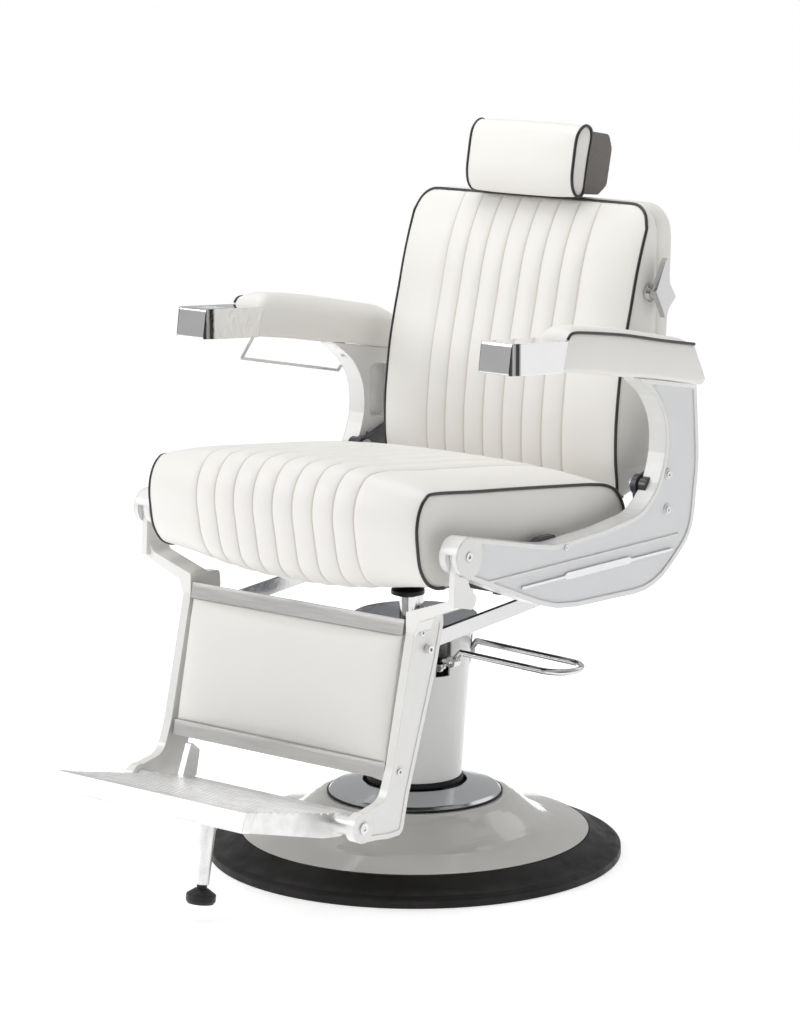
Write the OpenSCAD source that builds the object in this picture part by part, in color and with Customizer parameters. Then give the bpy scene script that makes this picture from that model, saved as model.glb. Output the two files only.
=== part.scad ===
// Hydraulic barber chair. Millimetres, +Z up, origin on the floor under the column axis.
// The sitter looks along -Y, so +X is the sitter's left.

/* [Base] */

// Outer radius of the rubber ring round the base
base_r = 335; // [315:1:345]
// Height of the rubber ring where it meets the dish
ring_h = 39; // [34:1:44]
// Thickness of the pressed dish
dish_t = 3; // [2:0.5:4]

/* [Column] */

// Outer radius of the column cover at its lower end
cover_r_low = 76; // [74:1:80]
// Outer radius of the column cover at its upper end
cover_r_top = 95; // [92:1:97]
// Height of the top face of the dark disc on the column
disc_top = 392; // [390:1:394]
// Radius of the hydraulic ram
ram_r = 25; // [22:0.5:27]

/* [Seat] */

// Half width of the seat cushion
seat_half = 272; // [262:1:275]
// Half width of the gap between the inner faces of the arm castings
frame_in = 296; // [295:0.5:298]
// Outer face of the arm castings
frame_out = 330; // [328:1:334]

/* [Back] */

// Half width of the back cushion
back_half = 240; // [225:1:243]
// Height of the top of the back
back_top = 1043; // [1030:1:1044]

/* [Leg rest] */

// Outer face of the leg rest side bars
bar_out = 237; // [235:0.5:240]
// Angle by which the leg rest panel leans forward at the bottom
leg_lean = 12; // [11:0.5:13]

/* [Foot rest] */

// Half width of the front lip of the foot rest
foot_half = 191; // [180:1:196]
// Angle of the foot rest plate above the horizontal
foot_tilt = 12.6; // [10:0.2:14]

/* [Hidden] */
$fn = 72;
fit = 0.06;
bar_in = bar_out - 16;
link_x = [bar_in - 13, bar_in - 5];
leg_pivot = [-275, 570];
link_front = [-260, 414];
link_run = [485, 37];
back_pivot = leg_pivot + link_run;
link_rear = link_front + link_run;
bracket_x = [283, 293];
tongue_x = [309, 320];
foot_pivot = [-409, 165];
lock_axis = [297, 901];
lever_axis = [72, 333];
lever_rods = [-29, 50];
tilt_axis = [333, 1088];
leg_screw_at = [[-270, 441], [-324, 235]];
cross_tube = [334, 690];
split_y = 318;

upholstery = [0.95, 0.94, 0.92];
enamel = [0.88, 0.87, 0.85];
speckle = [0.82, 0.82, 0.83];
chrome = [0.75, 0.75, 0.78];
steel = [0.62, 0.60, 0.58];
cast_alloy = [0.84, 0.84, 0.84];
rubber = [0.13, 0.12, 0.12];
dark = [0.28, 0.28, 0.30];
taupe = [0.36, 0.33, 0.30];
board = [0.70, 0.58, 0.42];

// ---- outline helpers: a corner is [across, up, rounding radius] ----

function flat(c) = [c[0], c[1]];
function unit(v) = v / norm(v);

function corner(p, q, s, r) = r <= 0 ? [q] :
  let (u = unit(p - q), v = unit(s - q), half = acos(max(-1, min(1, u * v))) / 2,
       reach = r / tan(half), c = q + unit(u + v) * r / sin(half),
       m = q + u * reach - c, n = q + v * reach - c,
       a = atan2(m[1], m[0]), turn = (atan2(n[1], n[0]) - a + 540) % 360 - 180,
       steps = max(2, ceil(abs(turn) / 12)))
  [for (k = [0 : steps]) c + r * [cos(a + turn * k / steps), sin(a + turn * k / steps)]];

function outline(v) = let (n = len(v))
  [for (i = [0 : n - 1])
    each corner(flat(v[(i + n - 1) % n]), flat(v[i]), flat(v[(i + 1) % n]), v[i][2])];

// The same outline moved inwards by d; corners run counter-clockwise.
function inset(v, d) = let (n = len(v))
  [for (i = [0 : n - 1])
    let (q = flat(v[i]), e = unit(q - flat(v[(i + n - 1) % n])),
         f = unit(flat(v[(i + 1) % n]) - q), a = [-e[1], e[0]], b = [-f[1], f[0]],
         w = q + (a + b) * d / (1 + a * b), bend = e[0] * f[1] - e[1] * f[0])
    [w[0], w[1], v[i][2] <= 0 ? 0 : max(1, v[i][2] + (bend > 0 ? -d : d))]];

// Extrudes an outline drawn in Y and Z between two X positions.
module side(x0, x1) {
  translate([x0, 0, 0])
    rotate([90, 0, 90])
      linear_extrude(x1 - x0)
        children();
}

// A round bar along X.
module rod_x(x0, x1, at, r) {
  translate([x0, at[0], at[1]])
    rotate([0, 90, 0])
      cylinder(h = x1 - x0, r = r);
}

// A round bar along Y.
module rod_y(y0, y1, x, z, r) {
  translate([x, y1, z])
    rotate([90, 0, 0])
      cylinder(h = y1 - y0, r = r);
}

// A block between two corners.
module block(a, b) {
  translate(a)
    cube(b - a);
}

// A round bar between two points.
module bar(a, b, r) {
  d = b - a;
  translate(a)
    rotate([0, acos(d[2] / norm(d)), atan2(d[1], d[0])])
      cylinder(h = norm(d), r = r);
}

module both() {
  children();
  mirror([1, 0, 0])
    children();
}

// ---- base ----

function ease(t) = t <= 0 ? 0 : t >= 1 ? 1 : t * t * (3 - 2 * t);
function dish_z(r) = ring_h + 0.193 * (282 - r) + 33.5 * ease((228 - r) / 80);

dish_steps = [282, 268, 254, 240, 228, 220, 212, 204, 196, 188, 180, 172, 164, 156, 148];

module base_plate() {
  color(dark)
    difference() {
      union() {
        cylinder(h = 12, r = 266, $fn = 144);
        cylinder(h = 26, r = 110, $fn = 144);
      }
      for (k = [0 : 5])
        rotate(60 * k)
          translate([66, 0, 6])
            cylinder(h = 30, r = 6.2);
    }
}

module base_ring() {
  color(rubber)
    rotate_extrude($fn = 180)
      polygon(outline([[266.2, 0, 0], [base_r, 0, 2], [base_r, 14, 4], [base_r - 8, 18.5, 3],
        [base_r - 24, 22, 40], [284, ring_h, 1.5], [276, ring_h - 4, 0], [266.2, 24, 0]]));
}

module base_dish() {
  n = len(dish_steps);
  color(enamel)
    rotate_extrude($fn = 180)
      polygon(concat(
        [for (r = dish_steps) [r, dish_z(r) + 0.4]],
        [[104, dish_z(148) + 0.4], [104, 26.2], [107, 26.2], [107, dish_z(148) + 0.4 - dish_t]],
        [for (i = [n - 1 : -1 : 1]) [dish_steps[i] + 0.8, dish_z(dish_steps[i]) + 0.4 - dish_t]],
        [[278, ring_h - 2.4]]));
}

module collar_gasket() {
  color(rubber)
    translate([0, 0, dish_z(148) + 0.6])
      difference() {
        cylinder(h = 3, r = 142.5, $fn = 120);
        translate([0, 0, -1])
          cylinder(h = 5, r = 110, $fn = 120);
      }
}

module dress_collar() {
  z = dish_z(148) + 3.8;
  color(chrome)
    rotate_extrude($fn = 144)
      polygon(outline([[84.5, z + 12, 0], [84.5, z + 17.5, 1.2], [89, z + 17.5, 1.5],
        [135, z + 5, 8], [140.5, z, 0], [112, z, 0], [112, z + 4, 0], [92, z + 12, 0]]));
}

module column_tube() {
  color(steel)
    difference() {
      union() {
        translate([0, 0, 26.1])
          cylinder(h = 14, r = 80);
        translate([0, 0, 26.1])
          cylinder(h = 318, r = 46);
      }
      translate([0, 0, 50])
        cylinder(h = 310, r = 31);
      for (k = [0 : 5])
        rotate(60 * k)
          translate([66, 0, 20])
            cylinder(h = 30, r = 6.2);
    }
}

module tube_bush() {
  color([0.72, 0.58, 0.30])
    difference() {
      union() {
        translate([0, 0, 322])
          cylinder(h = 26, r = 31 - fit / 2);
        translate([0, 0, 344.2])
          cylinder(h = 8, r = 40);
      }
      translate([0, 0, 320])
        cylinder(h = 40, r = ram_r + fit);
    }
}

module base_bolts() {
  color(steel)
    for (k = [0 : 5])
      rotate(60 * k)
        translate([66, 0, 0]) {
          translate([0, 0, 8])
            cylinder(h = 33, r = 6);
          translate([0, 0, 40.2])
            cylinder(h = 8, r = 10, $fn = 6);
        }
}

// ---- parts that rise without turning ----

module ram() {
  color(chrome)
    union() {
      translate([0, 0, 84.2])
        cylinder(h = 281.8, r = ram_r);
      translate([0, 0, 300])
        cylinder(h = 160, r = 15);
    }
}

module ram_piston() {
  color(dark)
    difference() {
      translate([0, 0, 60])
        cylinder(h = 24, r = 31 - fit);
      for (z = [66, 75])
        translate([0, 0, z])
          difference() {
            cylinder(h = 3, r = 33);
            translate([0, 0, -1])
              cylinder(h = 5, r = 28.5);
          }
    }
}

module thrust_washer() {
  color([0.72, 0.58, 0.30])
    translate([0, 0, 366.1])
      difference() {
        cylinder(h = 4, r = 24);
        translate([0, 0, -1])
          cylinder(h = 6, r = 15 + fit / 2);
      }
}

// ---- parts that rise and turn with the seat ----

module column_cover() {
  z0 = 129.2;
  z1 = disc_top - 7.4;
  color(enamel)
    difference() {
      rotate_extrude($fn = 144)
        polygon([[cover_r_low - 3, z0], [cover_r_low, z0], [cover_r_top, z1],
          [cover_r_top - 3, z1]]);
      block([60, lever_rods[0] - 14, 306], [112, lever_rods[0] + 10, 362]);
      block([60, lever_rods[1] - 10, 316], [112, lever_rods[1] + 10, 362]);
    }
}

module cover_seal() {
  color(rubber)
    rotate_extrude($fn = 120)
      polygon(outline([[cover_r_low - 4, 119, 0], [cover_r_low + 2.5, 119, 1.5],
        [cover_r_low + 2.5, 129, 2], [cover_r_low - 4, 129, 0]]));
}

module head_casting() {
  color(enamel)
    difference() {
      union() {
        translate([0, 0, 370.4])
          cylinder(h = 8, r = 60);
        translate([0, 0, 376])
          cylinder(h = disc_top - 383.2, r = cover_r_top - 4.2);
        translate([0, 0, 380])
          cylinder(h = 20, r = 24);
        for (y = [lever_rods[0] + 14, lever_rods[1] - 20])
          block([56, y - 4, 322], [80, y + 4, 376]);
      }
      translate([0, 0, 360])
        cylinder(h = 50, r = 15 + fit);
      rod_y(-60, 60, lever_axis[0], lever_axis[1], 6 + fit);
      translate([20, -42, 360])
        cylinder(h = 30, r = 8.05);
    }
}

module head_disc() {
  color(dark)
    translate([0, 0, disc_top - 7])
      difference() {
        cylinder(h = 7, r = 100, $fn = 144);
        translate([0, 0, -1])
          cylinder(h = 9, r = 24.2);
        translate([20, -42, -1])
          cylinder(h = 9, r = 8.1);
      }
}

module buffer_post() {
  color(chrome)
    union() {
      translate([20, -42, disc_top + 0.1])
        cylinder(h = 38.8, r = 13.5);
      translate([20, -42, 374])
        cylinder(h = 40, r = 8);
    }
}

module buffer_pad() {
  color(rubber)
    translate([20, -42, disc_top + 39])
      rotate_extrude()
        polygon(outline([[0, 0, 0], [13.5, 0, 0], [27, 4, 2], [27, 11, 2], [16, 18, 6], [14, 44, 0],
          [0, 44, 0]]));
}

module seat_frame() {
  color(dark)
    difference() {
      union() {
        for (y = [-140, -30])
          block([-290, y - 12, 490], [290, y + 12, 503.5]);
        for (x = [-80, 80])
          block([x - 12, -150, 490], [x + 12, 140, 503.5]);
        block([-92, -60, 476], [92, 60, 503.5]);
        translate([0, 0, 440])
          cylinder(h = 44, r = 30);
        both()
          side(284, frame_in - 0.2)
            polygon(outline([[-160, 488, 4], [8, 488, 4], [8, 520, 10], [-20, 562, 8],
              [-56, 562, 8], [-160, 520, 10]]));
      }
      translate([0, 0, 430])
        cylinder(h = 32, r = 15 + fit);
      translate([20, -42, 430])
        cylinder(h = 40.4, r = 28);
      both()
        rod_x(280, 300, [-37, 548], 3.2);
    }
}

module seat_pan() {
  color(board)
    side(-seat_half + 22, seat_half - 22)
      polygon([[-240, 504], [186, 504], [186, 512], [-236, 512]]);
}

seat_edge = [[-238, 512.6, 0], [-250, 500, 8], [-282, 497, 12], [-322, 548, 34], [-331, 625, 28], [-302, 668, 24],
  [-180, 668, 120], [60, 640, 120], [164, 622, 22], [197, 580, 14], [192, 512.6, 8]];

module seat_cushion() {
  color(upholstery)
    intersection() {
      side(-seat_half, seat_half)
        polygon(outline(seat_edge));
      translate([0, 0, 480])
        linear_extrude(240)
          polygon(outline([[-seat_half, -340, 26], [seat_half, -340, 26],
            [seat_half, 210, 14], [-seat_half, 210, 14]]));
    }
}

// ---- arms ----

frame_edge = [[-285, 540, 0], [-60, 452, 300], [200, 444, 150], [300, 520, 80], [316, 640, 200],
  [305.5, 761.2, 3], [146, 789.7, 2], [196, 756, 90], [225, 712, 80], [226, 660, 90],
  [205, 606, 80], [160, 571, 80], [60, 560, 300], [-60, 555.5, 120], [-110, 564, 60],
  [-262, 597, 0]];

// The left arm casting, with a clevis at the front for the leg rest.
module arm_frame() {
  difference() {
    union() {
      side(frame_in, frame_out)
        polygon(outline(frame_edge));
      rod_x(frame_in, frame_out, leg_pivot, 29);
      rod_x(frame_in, frame_in + 14, back_pivot, 13.5);
      side(302, 318)
        polygon([[-138, 841], [100, 841], [158, 781], [182, 767], [182, 800], [128, 857],
          [-138, 857]]);
    }
    difference() {
      side(frame_out - 2, frame_out + 2)
        polygon(outline(inset(frame_edge, 8)));
      block([frame_out - 3, -260, 522], [frame_out + 3, 262, 525.5]);
      rod_x(frame_out - 3, frame_out + 3, leg_pivot, 34);
      for (p = [[232, 625], [231, 568]])
        rod_x(frame_out - 3, frame_out + 3, p, 9);
    }
    side(frame_in - 1, frame_in + 18)
      polygon(outline([[240, 650, 10], [296, 650, 16], [298, 735, 10], [240, 745, 16]]));
    rod_x(tongue_x[0] - 0.6, tongue_x[1] + 0.6, leg_pivot, 23.5);
    side(tongue_x[0] - 0.6, tongue_x[1] + 0.6)
      polygon([[-290, 575], [-312, 575], [-312, 480], [-250, 480], [-250, 562]]);
    rod_x(frame_in - 1, frame_out - 3.9, leg_pivot, 5 + fit);
    rod_x(frame_out - 4, frame_out + 3, leg_pivot, 7 + fit);
    rod_x(frame_in - 1, frame_in + 12, back_pivot, 8 + fit);
    for (p = [[232, 625], [231, 568], [-37, 548]])
      rod_x(frame_in - 1, frame_out + 1, p, 3.1);
  }
}

module left_arm_frame() {
  color(speckle)
    arm_frame();
}

module right_arm_frame() {
  color(speckle)
    difference() {
      mirror([1, 0, 0])
        arm_frame();
      block([-314.5, 150, 730], [-304.5, 191, 764]);
    }
}

module emblem_bar() {
  side(frame_out - 1.9, frame_out + 1.4)
    polygon(outline([[-147, 500, 1.4], [-40, 500, 1], [-34, 497, 2], [128, 497, 2], [134, 500, 1],
      [244, 500, 1.4], [244, 504, 1.4], [134, 504, 1], [128, 508, 2], [-34, 508, 2],
      [-40, 504, 1], [-147, 504, 1.4]]));
}

module left_emblem_bar() {
  color(chrome)
    emblem_bar();
}

module right_emblem_bar() {
  color(chrome)
    mirror([1, 0, 0])
      emblem_bar();
}

module arm_pad() {
  difference() {
    side(278, 341)
      polygon(outline([[-61.5, 822.6, 0], [15, 812, 80], [85, 799.5, 80], [174, 786, 80],
        [277, 766.5, 0], [311, 760.5, 8], [318, 775, 14], [290, 826, 34], [197, 851, 60],
        [80, 880, 120], [-30, 888, 14], [-48, 878, 6], [-48.8, 870.6, 0]]));
    side(301.5, 318.5)
      polygon([[-150, 840.5], [99.8, 840.5], [157.6, 780.5], [182.5, 760], [182.5, 800.2],
        [128.2, 857.5], [-150, 857.5]]);
  }
}

module left_arm_pad() {
  color(upholstery)
    arm_pad();
}

module right_arm_pad() {
  color(upholstery)
    difference() {
      mirror([1, 0, 0])
        arm_pad();
      block([-316, -52, 800], [-303, -24, 836]);
    }
}

module arm_cap() {
  difference() {
    intersection() {
      side(278, 341)
        polygon(outline([[-192, 832, 3], [-62.2, 822, 1], [-49.4, 870, 1], [-184, 879.5, 4]]));
      translate([0, 0, 800])
        linear_extrude(120)
          polygon(outline([[280, -194, 3], [278, -166, 40], [278, -40, 0], [341, -40, 0],
            [341, -166, 40], [337.5, -194, 4]]));
    }
    block([301.5, -146, 840.5], [318.5, 0, 857.5]);
  }
}

module left_arm_cap() {
  color(chrome)
    arm_cap();
}

module right_arm_cap() {
  color(chrome)
    difference() {
      mirror([1, 0, 0])
        arm_cap();
      block([-315, -100, 815], [-304, -60, 840.7]);
    }
}

module arm_screws() {
  color(chrome)
    both()
      for (p = [[232, 625, 5.5], [231, 568, 5.5], [-37, 548, 4]])
        difference() {
          union() {
            rod_x(frame_in + 4, frame_out + 0.5, p, 3);
            rod_x(frame_out + 0.1, frame_out + 2.4, p, p[2]);
          }
          translate([frame_out + 1, p[0], p[1]])
            rotate([0, 90, 0])
              cylinder(h = 4, r = p[2] * 0.5, $fn = 6);
        }
}

module leg_pivot_screws() {
  color(chrome)
    both()
      difference() {
        union() {
          rod_x(frame_in + 1, frame_out - 3, leg_pivot, 5);
          rod_x(frame_out - 3.9, frame_out + 1.6, leg_pivot, 7);
        }
        translate([frame_out - 2, leg_pivot[0], leg_pivot[1]])
          rotate([0, 90, 0])
            cylinder(h = 8, r = 3.5, $fn = 6);
      }
}

module back_pivot_pins() {
  color(steel)
    both() {
      rod_x(281, frame_in + 11.8, back_pivot, 8);
      rod_x(277.6, 281.2, back_pivot, 12);
    }
}

// ---- levers ----

module pump_lever() {
  mid = (lever_rods[0] + lever_rods[1]) / 2;
  reach = (lever_rods[1] - lever_rods[0]) / 2;
  near = lever_rods[0];
  color(chrome)
    difference() {
      union() {
        rod_y(near - 3, lever_rods[1] + 3, lever_axis[0], lever_axis[1], 6);
        bar([64, near, lever_axis[1]], [104, near, lever_axis[1] - 1], 7.5);
        rod_y(near - 11, near + 5, 105, 334, 9);
        bar([105, near, 336], [118, near, 350], 5);
        bar([64, lever_rods[1], lever_axis[1]], [78, lever_rods[1], 336], 8);
        bar([76, lever_rods[1], 337], [88, lever_rods[1], 350.8], 5);
        for (p = [[118, near, 350], [88, lever_rods[1], 350.9]])
          translate(p)
            sphere(r = 5.1);
        translate([118, mid, 349.9])
          rotate([0, 1.8, 0]) {
            translate([0, -reach, 0])
              rotate([0, 90, 0])
                cylinder(h = 160, r = 5);
            translate([-30, reach, 0])
              rotate([0, 90, 0])
                cylinder(h = 190, r = 5);
            translate([160, 0, 0])
              intersection() {
                rotate_extrude()
                  translate([reach, 0])
                    circle(r = 5.1);
                block([-0.5, -reach - 8, -8], [reach + 8, reach + 8, 8]);
              }
          }
        rod_y(near - 12, near, 84, 322, 4);
        translate([84, near - 8, 322])
          rotate([90, 0, 0])
            cylinder(h = 6, r = 6.5, $fn = 6);
      }
      translate([105, near - 6, 334])
        rotate([90, 0, 0])
          cylinder(h = 8, r = 4.2, $fn = 6);
    }
}

// A bent wire hung under the right arm pad.
wire = [[-32, 826], [-68, 785], [172, 738], [180, 745]];

module recline_lever() {
  x = -309.5;
  color(chrome)
    union() {
      rod_x(x - 4.5, x + 4.5, wire[0], 4);
      for (k = [1 : 3])
        bar([x, wire[k - 1][0], wire[k - 1][1]], [x, wire[k][0], wire[k][1]], 2.8);
      for (k = [1 : 2])
        translate([x, wire[k][0], wire[k][1]])
          sphere(r = 3);
    }
}

// ---- back ----

module bracket() {
  difference() {
    union() {
      side(bracket_x[0], bracket_x[1])
        polygon(outline([[200, 596, 6], [link_rear[0] - 13, 452, 0], [link_rear[0] + 13, 452, 0],
          [248, 575, 14], [330, 588, 14], [352, 640, 14], [350, 702, 8], [320, 702, 8],
          [314, 652, 14], [240, 628, 14], [203, 618, 6]]));
      rod_x(bracket_x[0], bracket_x[1], back_pivot, 17);
      rod_x(bracket_x[0], bracket_x[1], link_rear, 13);
    }
    rod_x(bracket_x[0] - 1, bracket_x[1] + 1, back_pivot, 8 + fit);
  }
}

module back_frame() {
  color(dark)
    union() {
      both() {
        bracket();
        rod_x(link_x[0] - 3, bracket_x[0] + 2, link_rear, 6);
        rod_x(link_x[1] + 0.6, bracket_x[0] + 2, link_rear, 9);
        block([140, 326, 650], [156, 342, 1000]);
      }
      rod_x(-284, 284, cross_tube, 9);
      block([-156, 326, 640], [156, 342, 660]);
      block([-156, 326, 984], [-23, 342, 1000]);
      block([23, 326, 984], [156, 342, 1000]);
    }
}

back_edge = [[216.5, 571, 14], [214, 690, 200], [224, 780, 400], [256, 912, 300], [292, 1008, 60],
  [303, back_top, 8], [346, back_top, 12], [371, back_top - 28, 24], [371, 950, 200],
  [362, 840, 300], [355, 700, 0], [349, 604, 14]];

module back_outline() {
  polygon(outline(back_edge));
}

module back_front_view() {
  translate([0, 420, 0])
    rotate([90, 0, 0])
      linear_extrude(260)
        children();
}

module back_cushion() {
  color(upholstery)
    difference() {
      intersection() {
        side(-back_half, back_half)
          back_outline();
        back_front_view()
          polygon(outline([[-back_half, 565, 10], [back_half, 565, 10],
            [back_half - 4, back_top, 40], [-back_half + 4, back_top, 40]]));
        block([-300, 150, 560], [300, split_y, 1100]);
      }
      rod_x(205, 260, lock_axis, 6.5);
    }
}

module back_shell() {
  color(upholstery)
    difference() {
      intersection() {
        side(-back_half + 2, back_half - 2)
          back_outline();
        back_front_view()
          polygon(outline([[-back_half + 2, 592, 12], [back_half - 2, 592, 12],
            [back_half - 6, back_top, 38], [-back_half + 6, back_top, 38]]));
        block([-300, split_y + 0.3, 560], [300, 400, 1100]);
      }
      block([-back_half + 12, split_y - 1, 622], [back_half - 12, 346, 1012]);
      block([-23, split_y + 3, 1000], [23, 343.6, 1100]);
      rod_x(-260, 260, cross_tube, 9.4);
    }
}

module headrest_guide() {
  color(steel)
    difference() {
      block([-22, 322.4, 880], [22, 343, back_top + 1]);
      block([-13 - fit, 328 - fit, 870], [13 + fit, 338 + fit, back_top + 10]);
    }
}

module lock_boss() {
  color(chrome)
    difference() {
      union() {
        rod_x(back_half + 1.2, back_half + 5, lock_axis, 15);
        rod_x(back_half + 5, back_half + 8, lock_axis, 11);
      }
      rod_x(back_half - 2, back_half + 12, lock_axis, 5 + fit);
    }
}

module lock_lever() {
  color(chrome)
    union() {
      rod_x(back_half - 30, back_half + 16, lock_axis, 5);
      rod_x(back_half + 8.2, back_half + 18, lock_axis, 9);
      side(back_half + 14, back_half + 24)
        polygon(outline([[285, 906, 3], [305, 872, 4], [312, 857, 3], [320, 876, 8],
          [339, 893, 3], [322, 916, 10], [318, 961, 3], [308, 950, 4]]));
    }
}

// ---- headrest ----

module headrest_bar() {
  color(chrome)
    difference() {
      union() {
        block([-13, 328, 900], [13, 338, 1080]);
        rod_x(-13, 13, tilt_axis, 9);
      }
      rod_x(-20, 20, tilt_axis, 4 + fit);
    }
}

module tilt_pin() {
  color(steel)
    rod_x(-40, 40, tilt_axis, 4);
}

module headrest_block() {
  color(taupe)
    difference() {
      side(-104, 104)
        polygon(outline([[304.8, 1050, 2], [342, 1046.5, 10], [365, 1060, 12], [379, 1120, 20],
          [370, 1143, 10], [321.6, 1151, 2], [309, 1098, 60]]));
      side(-14, 14)
        polygon([[321, 1088], [324, 1098], [333, 1101], [342, 1098], [345, 1088], [366, 1040],
          [319, 1030]]);
      rod_x(-41, 41, tilt_axis, 4.05);
    }
}

module headrest_cushion() {
  color(upholstery)
    side(-108, 108)
      polygon(outline([[294, 1049, 5], [304.4, 1098, 60], [320.6, 1150, 4], [304, 1164, 10],
        [280, 1150, 16], [265, 1074, 16], [277, 1051, 8]]));
}

// ---- leg rest ----

bar_edge = [[-380, 141, 20], [-352, 137, 20], [-318, 137, 14], [-303, 195, 40], [-235, 390, 120],
  [-220, 447, 8], [-222, 470, 6], [-284, 474, 3], [-291, 438, 60], [-338, 245, 80],
  [-357, 196, 28], [-409, 186, 0], [-409, 143, 0]];

module leg_bar() {
  difference() {
    union() {
      side(bar_in, bar_out)
        polygon(outline(bar_edge));
      rod_x(bar_in, bar_out, foot_pivot, 23);
      translate([0, -252, 0])
        rotate([90, 0, 0])
          linear_extrude(38)
            polygon(outline([[bar_in, 440, 0], [bar_out, 440, 0], [bar_out + 8, 462, 12],
              [tongue_x[1], 492, 14], [tongue_x[1], 516, 0], [tongue_x[0], 516, 0],
              [tongue_x[0] - 8, 500, 14], [bar_in, 474, 0]]));
      side(tongue_x[0], tongue_x[1])
        polygon(outline([[-298, 496, 0], [-250, 484, 10], [-243, 502, 10], [-264, 525, 16],
          [-259, 556, 0], [-259, 575, 0], [-291, 575, 0], [-295, 545, 30]]));
      rod_x(tongue_x[0], tongue_x[1], leg_pivot, 20);
    }
    side(bar_in - 1, bar_in + 9)
      polygon(outline([[-308, 250, 6], [-248, 405, 10], [-242, 430, 4], [-276, 436, 4],
        [-318, 246, 4]]));
    rod_x(tongue_x[0] - 1, tongue_x[1] + 1, leg_pivot, 5 + fit);
    rod_x(bar_in - 1, bar_out + 1, link_front, 4 + fit);
    rod_x(bar_in - 1, bar_out + 1, foot_pivot, 6 + fit);
    difference() {
      side(bar_out - 1.5, bar_out + 1)
        polygon(outline(inset(bar_edge, 8)));
      rod_x(bar_out - 2, bar_out + 2, foot_pivot, 25);
      block([bar_out - 2, -400, 452], [bar_out + 2, -200, 500]);
    }
    for (p = leg_screw_at) {
      rod_x(bar_in - 1, bar_out + 1, p, 3.1);
      rod_x(bar_out - 1.5, bar_out + 10, p, 5.7);
    }
  }
}

module left_leg_bar() {
  color(enamel)
    leg_bar();
}

module right_leg_bar() {
  color(enamel)
    mirror([1, 0, 0])
      leg_bar();
}

// Puts children in the plane of the panel: origin at its top edge, z down the panel is negative.
module panel_plane() {
  translate([0, -286, 461])
    rotate([-leg_lean, 0, 0])
      children();
}

module leg_rails() {
  color(dark)
    panel_plane()
      for (z = [-24, -239])
        difference() {
          block([-bar_in + 0.2, 12.2, z], [bar_in - 0.2, 24, z + 18]);
          block([-200, 15, z - 1], [200, 25, z + 15]);
        }
}

module leg_board() {
  color(board)
    panel_plane()
      block([-213, 1.2, -242], [213, 12, -1]);
}

module leg_cushion() {
  color(upholstery)
    panel_plane()
      side(-214, 214)
        polygon(outline([[1, -218, 0], [1, -25.2, 0], [-8, -25.2, 7], [-10, -120, 0],
          [-8, -218, 7]]));
}

module strip() {
  difference() {
    block([-217, -3, -24.6], [217, 1, 0]);
    block([-213, -1.5, -23.4], [213, 2, -1.2]);
  }
}

module top_strip() {
  color(steel)
    panel_plane()
      strip();
}

module bottom_strip() {
  color(steel)
    panel_plane()
      translate([0, 0, -218.6])
        strip();
}

module leg_screws() {
  color(chrome)
    both()
      for (p = leg_screw_at)
        difference() {
          union() {
            rod_x(bar_in + 2, bar_out, p, 3);
            rod_x(bar_out - 1.4, bar_out + 1.6, p, 5.4);
          }
          translate([bar_out - 1.2, p[0], p[1]])
            rotate([0, 90, 0])
              cylinder(h = 4, r = 2.9, $fn = 6);
        }
}

module link_screws() {
  color(chrome)
    both()
      difference() {
        union() {
          rod_x(link_x[0] - 3, bar_out + 2, link_front, 4);
          rod_x(bar_out + 0.3, bar_out + 9, link_front, 6.5);
          rod_x(link_x[0] - 6, link_x[0] - 0.6, link_front, 7);
        }
        translate([bar_out + 4, link_front[0], link_front[1]])
          rotate([0, 90, 0])
            cylinder(h = 8, r = 3.2, $fn = 6);
      }
}

module link_bar() {
  difference() {
    union() {
      side(link_x[0], link_x[1])
        polygon([link_front + [0, -12], link_rear + [0, -10.5], link_rear + [0, 10.5],
          link_front + [0, 12]]);
      rod_x(link_x[0], link_x[1], link_front, 12);
      rod_x(link_x[0], link_x[1], link_rear, 10.5);
    }
    rod_x(link_x[0] - 1, link_x[1] + 1, link_front, 4 + fit);
    rod_x(link_x[0] - 1, link_x[1] + 1, link_rear, 6 + fit);
  }
}

module left_link() {
  color(chrome)
    link_bar();
}

module right_link() {
  color(chrome)
    mirror([1, 0, 0])
      link_bar();
}

// ---- foot rest ----

// Origin on the foot rest pivot, y along the plate towards the rear, z square to the plate.
module foot_plane() {
  translate([0, foot_pivot[0], foot_pivot[1]])
    rotate([-foot_tilt, 0, 0])
      children();
}

module footrest_plate() {
  color(cast_alloy)
    foot_plane()
      difference() {
        union() {
          side(-foot_half + 7, foot_half - 7)
            polygon(outline([[-214, -17, 0], [-26, -24, 20], [20, -20, 12], [28, 8, 10],
              [60, 8, 3], [60, 14, 2], [-214, 14, 0]]));
          side(-foot_half, foot_half)
            polygon(outline([[-222, -17, 2], [-204, -17, 1], [-198, 14, 1], [-217, 14, 3]]));
          both()
            rod_x(foot_half - 12, bar_in - 0.4, [0, 0], 15);
          side(-186, -174)
            polygon(outline([[44, 9, 0], [60, 9, 0], [76, 14, 3], [76, 55, 5], [54, 67, 4]]));
        }
        side(-foot_half + 14, foot_half - 14)
          polygon([[-208, -30], [40, -30], [22, 7], [-208, 7]]);
        for (y = [-190 : 16.5 : 8])
          block([-190, y, 12], [190, y + 5, 16]);
        both()
          rod_x(foot_half - 2, bar_in, [0, 0], 6 + fit / 2);
      }
}

module footrest_screws() {
  color(chrome)
    both()
      difference() {
        union() {
          rod_x(foot_half - 1, bar_out + 1, foot_pivot, 6);
          rod_x(bar_out + 0.2, bar_out + 3, foot_pivot, 9);
        }
        translate([bar_out + 1.6, foot_pivot[0], foot_pivot[1]])
          rotate([0, 90, 0])
            cylinder(h = 4, r = 3.6, $fn = 6);
      }
}

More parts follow.
